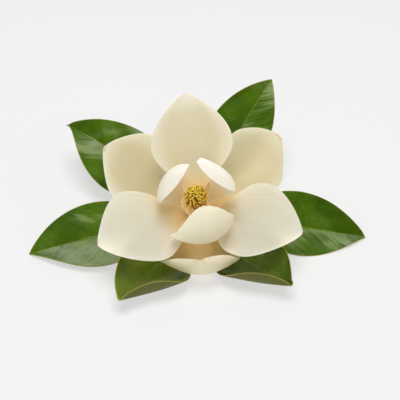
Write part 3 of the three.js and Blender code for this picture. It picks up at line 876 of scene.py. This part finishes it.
TEPAL_COLOURS = dict(
    outer=colour(248, 245, 232),
    middle=colour(254, 252, 245),
    inner=colour(254, 253, 250),
    outer_outside=colour(252, 248, 224),
    middle_outside=colour(252, 249, 236),
    inner_outside=colour(254, 254, 252),
    # The inner front tepal's outside is darker: painted shade, and partly a creamier tone of its own.
    tepal_inner_front_outside=colour(242, 236, 210),
    # shaded: painted shade inside a tepal, away from its margins
    shaded=colour(210, 196, 164),
    # foot: partly the tepal's own warmer base, and partly painted warm bounce light and shade
    foot=colour(255, 196, 76),
    vein=colour(226, 208, 164),
    rim=colour(254, 253, 246),
    brown=colour(200, 142, 70),
)
# The tint and the share of the light that a tepal lets through.
LIT_THROUGH = {"outer": (colour(254, 248, 224), 0.45), "middle": (colour(254, 250, 232), 0.5),
               "inner": (colour(255, 254, 248), 0.58)}
# How strongly shade is painted inside a tepal, darker and warmer away from its margins, from 0 to 1.
USUAL_PAINTED_SHADE = 0.2
PAINTED_SHADE = {"tepal_outer_left": 1, "tepal_outer_right": 0.9, "tepal_outer_front": 1,
         "tepal_middle_back": 0.85, "tepal_middle_left": 0.3, "tepal_middle_right": 0.25}
# How far up a tepal its golden foot shades off: partly the tepal's own warmer base, and partly painted
# warm bounce light and shade inside the cup.
USUAL_GOLD_AND_GLOW_REACH = 0.45
GOLD_AND_GLOW_REACH = {"tepal_outer_front": 0.85, "tepal_middle_right": 0.42, "tepal_middle_back": 0.36}
# How strongly a tepal's tip has browned, from 0 to 1.
USUAL_BROWNED = 0.1
BROWNED = {"tepal_outer_left": 0.9, "tepal_outer_right": 0.9, "tepal_outer_front": 0.5,
           "tepal_middle_left": 0.3, "tepal_middle_right": 0.3}


def tepal_material(blade, seed):
    """Waxy cream: warmer towards the foot, partly with painted warm bounce light and shade, with
    painted shade inside away from the margins, faintly veined, with a pale rim and a browned tip.
    """
    mix = Recipe(blade.name + "_wax", seed)
    paint = TEPAL_COLOURS
    name, whorl = blade.name, blade.whorl
    _, _, face = mix.mark("place")
    across, along, margin = mix.mark("share")
    is_inside = mix.ramp(face, -0.3, 0.3)
    fan = mix.vector(mix.times(across, 12), mix.times(along, 0.6), 0)
    streaks = mix.noise(2.4, 4, 0.6, fan)
    clouds = mix.noise(18, 3)
    # Painted shade: darker and warmer inside, away from the margins and the tip.
    off_margin = mix.ramp(mix.maths("ABSOLUTE", across), 1, 0.45)
    off_tip = mix.ramp(along, 1, 0.8)
    most_painted_shade = PAINTED_SHADE.get(name, USUAL_PAINTED_SHADE)
    patchy = mix.ramp(clouds, 0.3, 0.75, most_painted_shade, 0.7 * most_painted_shade)
    painted_shade = mix.times(mix.times(off_margin, off_tip), patchy)
    inside = mix.blend(painted_shade, paint[whorl], paint["shaded"])
    outside = paint.get(name + "_outside", paint[whorl + "_outside"])
    cream = mix.blend(is_inside, outside, inside)
    streak_share = mix.times(mix.ramp(streaks, 0.46, 0.66), mix.ramp(along, 0.95, 0.3, 0.15, 0.5))
    veined = mix.blend(streak_share, cream, paint["vein"])
    # The golden foot, partly painted warm bounce light and shade, stronger on the inside.
    gold = mix.times(mix.ramp(along, GOLD_AND_GLOW_REACH.get(name, USUAL_GOLD_AND_GLOW_REACH), 0.06),
                     mix.ramp(is_inside, 0, 1, 0.3, 0.8))
    warmed = mix.blend(gold, veined, paint["foot"])
    rimmed = mix.blend(mix.times(margin, 0.6), warmed, paint["rim"])
    specks = mix.noise(420, 2)
    near_tip = mix.ramp(along, 0.962, 0.997)
    tipped = mix.times(near_tip, mix.ramp(specks, 0.44, 0.6))
    amount = mix.times(tipped, BROWNED.get(name, USUAL_BROWNED))
    mix.set(
        Base_Color=mix.blend(amount, rimmed, paint["brown"]),
        Roughness=mix.ramp(clouds, 0.2, 0.8, 0.42, 0.56),
        Specular_IOR_Level=0.3,
        Subsurface_Weight=0.3,
        Subsurface_Radius=(1, 0.95, 0.85),
        Subsurface_Scale=0.003,
    )
    tint, amount_through = LIT_THROUGH[whorl]
    mix.let_light_through(amount_through, tint)
    grain = mix.noise(900, 2)
    mix.bump(mix.plus(mix.times(streaks, 1.2), mix.times(grain, 0.3)), 0.08)
    return mix.material


LEAF_COLOURS = Group(
    dark=colour(48, 78, 2),
    light=colour(72, 106, 6),
    vein=colour(92, 122, 24),
    midrib=colour(112, 134, 40),
    rim=colour(166, 152, 70),
    under=colour(92, 94, 46),
    under_vein=colour(116, 116, 62),
    # a lighter green for the front leaves: painted light, and partly a paler green of their own
    sheen=colour(110, 134, 30),
)
# How far a leaf's green is lightened towards a paler green, from 0 to 1: painted light on the front
# leaves that lie under the flower, and partly a paler green of their own.
PALER_AND_LIT = {"leaf_front_left": 0.7, "leaf_front_right": 0.15}
# How uneven a leaf's face is, in millimetres of height.
UNEVEN = Group(whole_leaf=12, between_veins=1.1, grain=0.05)


def leaf_material(blade, seed):
    """Leathery and glossy above with pale veins, dull and olive underneath, with a yellowish rim."""
    mix = Recipe(blade.name + "_leather", seed)
    paint = LEAF_COLOURS
    out, length, face = mix.mark("place")
    _, along, margin = mix.mark("share")
    reach = mix.maths("ABSOLUTE", out)
    ahead = mix.plus(mix.times(reach, VEINS.forward), mix.times(mix.times(reach, reach), VEINS.bend))
    wander = mix.times(mix.noise(90, 2), 2)
    travelled = mix.plus(mix.maths("SUBTRACT", length, ahead), wander)
    stagger = mix.times(mix.maths("GREATER_THAN", out, 0), 0.5)
    phase = mix.plus(mix.maths("DIVIDE", travelled, VEINS.spacing), stagger)
    away = mix.maths("PINGPONG", phase, 0.5)
    lateral = mix.times(mix.ramp(away, 0.055, 0), mix.ramp(margin, 1, 0))
    net = mix.ramp(mix.cells(520), 0, 0.12, 1, 0)
    rib = mix.ramp(reach, mix.ramp(along, 0, 1, 1.3, 0.4), 0.1)
    clouds = mix.noise(28, 4, 0.6)
    green = mix.blend(mix.ramp(clouds, 0.35, 0.68), paint.dark, paint.light)
    # The front leaves are lighter: painted light under the flower, and partly a paler green of their
    # own.
    green = mix.blend(PALER_AND_LIT.get(blade.name, 0), green, paint.sheen)
    netted = mix.blend(mix.times(net, 0.12), green, paint.vein)
    veined = mix.blend(mix.times(lateral, 0.22), netted, paint.vein)
    ribbed = mix.blend(rib, veined, paint.midrib)
    below_veins = mix.maths("MAXIMUM", rib, mix.times(lateral, 0.4))
    below = mix.blend(below_veins, paint.under, paint.under_vein)
    is_above = mix.ramp(face, -0.3, 0.3)
    sides = mix.blend(is_above, below, ribbed)
    edge_share = mix.times(mix.ramp(margin, 0.45, 0.9), 0.9)
    edged = mix.blend(edge_share, sides, paint.rim)
    petiole_share = mix.ramp(length, PETIOLE.length + 4, PETIOLE.length - 6)
    stalked = mix.blend(petiole_share, edged, paint.rim)
    roughness = mix.ramp(clouds, 0.2, 0.8, 0.2, 0.3)
    dull = mix.times(mix.maths("SUBTRACT", 1, is_above), 0.8)
    mix.set(
        Base_Color=stalked,
        Roughness=mix.plus(mix.times(is_above, roughness), dull),
        Specular_IOR_Level=0.55,
        Specular_Tint=(1, 1, 0.55, 1),
        Coat_Weight=0.1,
        Coat_Roughness=0.12,
    )
    slant = mix.vector(phase, mix.times(out, 0.03), 0)
    swells = mix.times(mix.noise(1.1, 2, vector=slant), UNEVEN.between_veins)
    rolls = mix.times(mix.noise(24, 1), UNEVEN.whole_leaf)
    grain = mix.plus(mix.times(net, -0.5), mix.noise(700, 2))
    fine = mix.times(grain, UNEVEN.grain)
    mix.bump(mix.plus(fine, mix.plus(swells, rolls)), 1)
    return mix.material


STAMEN_COLOURS = Group(
    tan=colour(252, 218, 146),
    pale=colour(255, 244, 196),
    # root: painted warm shade low down, in the gaps between the stamens
    root=colour(226, 170, 92),
    grain=colour(252, 232, 176),
)


def stamen_material():
    """Tan straps, with painted warm shade in the gaps between them."""
    mix = Recipe("stamen_tan")
    paint = STAMEN_COLOURS
    pale, along, _ = mix.mark("share")
    body = mix.blend(pale, paint.tan, paint.pale)
    # Painted warm shade towards the roots, in the gaps between the stamens.
    gap_shaded = mix.blend(mix.ramp(along, 0.4, 0.75), paint.root, body)
    grain = mix.noise(900, 3, 0.6)
    mix.set(
        Base_Color=mix.blend(mix.times(grain, 0.25), gap_shaded, paint.grain),
        Roughness=mix.ramp(grain, 0.2, 0.8, 0.6, 0.85),
    )
    mix.bump(grain, 0.15)
    return mix.material


CARPEL_COLOURS = Group(
    low=colour(204, 128, 22),
    low_pale=colour(234, 176, 50),
    high=colour(196, 162, 24),
    high_pale=colour(230, 200, 62),
    # root: painted dark shade in the gaps between the styles
    root=colour(112, 66, 8),
    # tip: a painted highlight over the curled tips
    tip=colour(244, 214, 108),
)


def carpel_material():
    """Golden yellow styles, with painted brown shade in the gaps between them and a paler painted
    highlight over their curled tips.
    """
    mix = Recipe("carpel_gold")
    paint = CARPEL_COLOURS
    pale, along, up = mix.mark("share")
    low = mix.blend(pale, paint.low, paint.low_pale)
    high = mix.blend(pale, paint.high, paint.high_pale)
    body = mix.blend(mix.ramp(up, 0.3, 0.8), low, high)
    # Painted dark shade towards the roots, in the gaps between the styles.
    gap_shaded = mix.blend(mix.ramp(along, 0.2, 0.5), paint.root, body)
    grain = mix.noise(1100, 3, 0.6)
    # A painted highlight over the upper curl of each style.
    highlight_share = mix.ramp(along, 0.55, 0.9, 0, 0.6)
    mix.set(
        Base_Color=mix.blend(highlight_share, gap_shaded, paint.tip),
        Roughness=mix.ramp(grain, 0.2, 0.8, 0.38, 0.6),
    )
    mix.bump(grain, 0.1)
    return mix.material


STALK_COLOURS = Group(
    green=colour(104, 96, 48),
    brown=colour(124, 98, 58),
    speck=colour(176, 156, 108),
)


def stalk_material():
    """Brownish green twig bark with paler specks."""
    mix = Recipe("stalk_bark")
    paint = STALK_COLOURS
    grain = mix.noise(420, 4, 0.65)
    clouds = mix.noise(60, 3)
    bark = mix.blend(mix.ramp(clouds, 0.3, 0.7), paint.green, paint.brown)
    mix.set(
        Base_Color=mix.blend(mix.ramp(grain, 0.6, 0.68), bark, paint.speck),
        Roughness=mix.ramp(grain, 0.2, 0.8, 0.6, 0.85),
    )
    mix.bump(grain, 0.25)
    return mix.material


# ---- Floor, light and camera: metres, watts and degrees ----

FLOOR = Group(size=8, shade=(0.42, 0.42, 0.42, 1), tint=(0.44, 0.44, 0.44, 1), glow=0.56)
# A narrow beam down the flower's axis: its width is an angle.
BEAM = Group(distance=1.5, width=6.2, radius=0.05, watts=27)
# The sky's strength low down and overhead, and the heights (1 is straight up) it fades between.
SKY = Group(low_down=0.6, overhead=0.01, fades_from=0.5, fades_to=0.75)
LIGHTS = dict(
    overhead=Group(place=(0, -0.1, 1.85), width=1.2, height=1.2, watts=22,
                   in_gloss=False, on_floor=True),
    back=Group(place=(0.15, 1.25, 1.2), width=2.3, height=1.1, watts=20,
               in_gloss=True, on_floor=False),
    front=Group(place=(-0.1, -1.5, 0.95), width=1.2, height=0.7, watts=5,
                in_gloss=False, on_floor=False),
)
# The lens is in millimetres.
CAMERA = Group(target=(0.0012, -0.0019, 0.03), elevation=37, distance=1.15, lens=103.5)


def add_floor():
    mesh = bpy.data.meshes.new("floor")
    half = FLOOR.size / 2
    corners = [(-half, -half, 0), (half, -half, 0), (half, half, 0), (-half, half, 0)]
    mesh.from_pydata(corners, [], [[0, 1, 2, 3]])
    mix = Recipe("floor_paper")
    grain = mix.noise(3, 2)
    mix.set(
        Base_Color=mix.blend(grain, FLOOR.shade, FLOOR.tint),
        Roughness=mix.ramp(grain, 0, 1, 0.85, 0.95),
        Specular_IOR_Level=0,
        Emission_Color=(1, 1, 1, 1),
        Emission_Strength=FLOOR.glow,
    )
    mesh.materials.append(mix.material)
    floor = shown("floor", mesh)
    return floor


def hang(name, lamp, place, target, in_gloss, unlit):
    """Hangs a lamp that is aimed at the target. unlit names what it leaves unlit, if anything."""
    light = shown(name, lamp)
    light.location = place
    light.rotation_euler = aim(place, target)
    light.visible_glossy = in_gloss
    if unlit:
        light.light_linking.receiver_collection = unlit


def add_light(name, facts, unlit):
    """A softbox aimed at the flower, which may leave the floor unlit."""
    lamp = bpy.data.lights.new(name, "AREA")
    lamp.shape = "RECTANGLE"
    lamp.size = facts.width
    lamp.size_y = facts.height
    lamp.energy = facts.watts
    hang(name, lamp, facts.place, CAMERA.target, facts.in_gloss, None if facts.on_floor else unlit)


def add_beam(unlit):
    """A narrow soft-edged beam into the flower's centre, which leaves the floor unlit."""
    lamp = bpy.data.lights.new("beam", "SPOT")
    lamp.energy = BEAM.watts
    lamp.spot_size = math.radians(BEAM.width)
    lamp.spot_blend = 1
    lamp.shadow_soft_size = BEAM.radius
    heart = placed(FLOWER, [0, 0, DRUM.widest]) * METRE
    hang("beam", lamp, heart + FLOWER[:3, 2] * BEAM.distance, heart, False, unlit)


def unlit_group(floor):
    """A receiver collection that keeps a light off the floor."""
    group = bpy.data.collections.new("unlit")
    group.objects.link(floor)
    group.collection_objects[0].light_linking.link_state = "EXCLUDE"
    return group


def aim(place, target):
    """Euler angles that turn -Z from place towards target, with +Y kept up."""
    return (Vector(target) - Vector(place)).to_track_quat("-Z", "Y").to_euler()


def add_world():
    """Even light from all round, with a dark patch overhead that glossy leaves show."""
    world = bpy.data.worlds.new("studio")
    world.use_nodes = True
    sky = Nodes(world.node_tree)
    background = sky.tree.nodes["Background"]
    direction = sky.node("SeparateXYZ")
    sky.put(sky.node("TexCoord").outputs["Generated"], direction.inputs[0])
    strength = sky.ramp(direction.outputs["Z"], SKY.fades_from, SKY.fades_to,
                        SKY.low_down, SKY.overhead)
    sky.feed(background, Color=(1, 1, 1, 1), Strength=strength)
    bpy.context.scene.world = world


def add_camera():
    elevation = math.radians(CAMERA.elevation)
    target = CAMERA.target
    place = (target[0], target[1] - CAMERA.distance * math.cos(elevation),
             target[2] + CAMERA.distance * math.sin(elevation))
    data = bpy.data.cameras.new("camera")
    data.lens = CAMERA.lens
    camera = shown("camera", data)
    camera.location = place
    camera.rotation_euler = aim(place, target)
    bpy.context.scene.camera = camera


def main():
    add_camera()
    unlit = unlit_group(add_floor())
    add_world()
    for name, facts in LIGHTS.items():
        add_light(name, facts, unlit)
    add_beam(unlit)
    bpy.context.scene.view_settings.view_transform = "Standard"
    add_stalk()
    add_stamens()
    add_carpels()
    for count, blade in enumerate(TEPALS):
        add_tepal(blade, SEEDS.first_tepal + count)
    for count, blade in enumerate(LEAVES):
        add_leaf(blade, SEEDS.first_leaf + count)


main()
